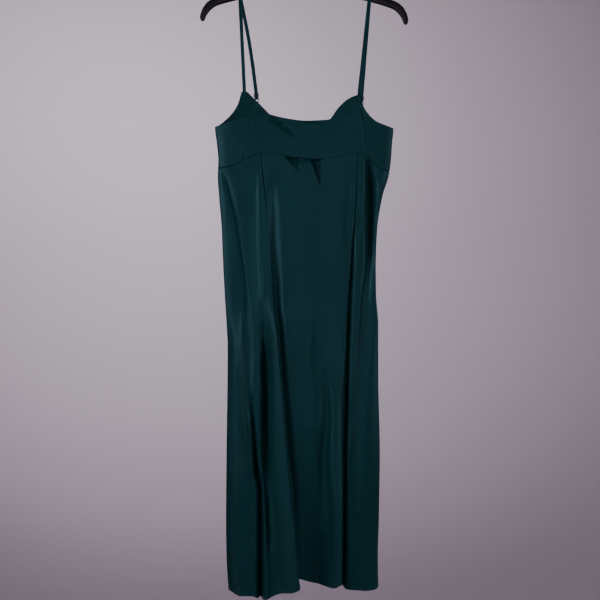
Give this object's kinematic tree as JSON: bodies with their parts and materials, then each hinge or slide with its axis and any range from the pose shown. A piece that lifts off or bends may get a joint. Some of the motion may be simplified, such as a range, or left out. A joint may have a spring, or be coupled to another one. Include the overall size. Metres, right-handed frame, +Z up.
{
  "type": "slip dress on hanger",
  "caption": "Midi slip dress in dark teal satin with a V front and thin adjustable straps, hung on a plain hanger.",
  "frame": {"origin": "the point inside the hook's bend where a rail touches it", "axes": "+Z up along the hanging dress, -Y towards the back of the dress, +X to the right as the back is seen"},
  "size_m": [0.4301, 0.1314, 1.3537],
  "materials": {
    "satin": "smooth dress satin with a soft sheen",
    "strap_satin": "satin folded and sewn to a narrow strap",
    "coated_metal": "small fittings with a dark teal coating",
    "hanger_plastic": "black moulded plastic, lightly worn on its ridge",
    "hook_steel": "plated steel wire"
  },
  "bodies": {
    "root": {"back_band": "satin", "back_side_left": "satin", "back_side_right": "satin", "back_skirt": "satin", "front_bodice": "satin", "front_skirt": "satin", "strap_left": "strap_satin", "strap_right": "strap_satin", "strap_tab_left": "strap_satin", "strap_tab_right": "strap_satin", "strap_ring_left": "coated_metal", "strap_ring_right": "coated_metal", "strap_slider_left": "coated_metal", "strap_slider_right": "coated_metal", "hanger_body": "hanger_plastic", "hanger_hook": "hook_steel"}
  },
  "joints": []
}
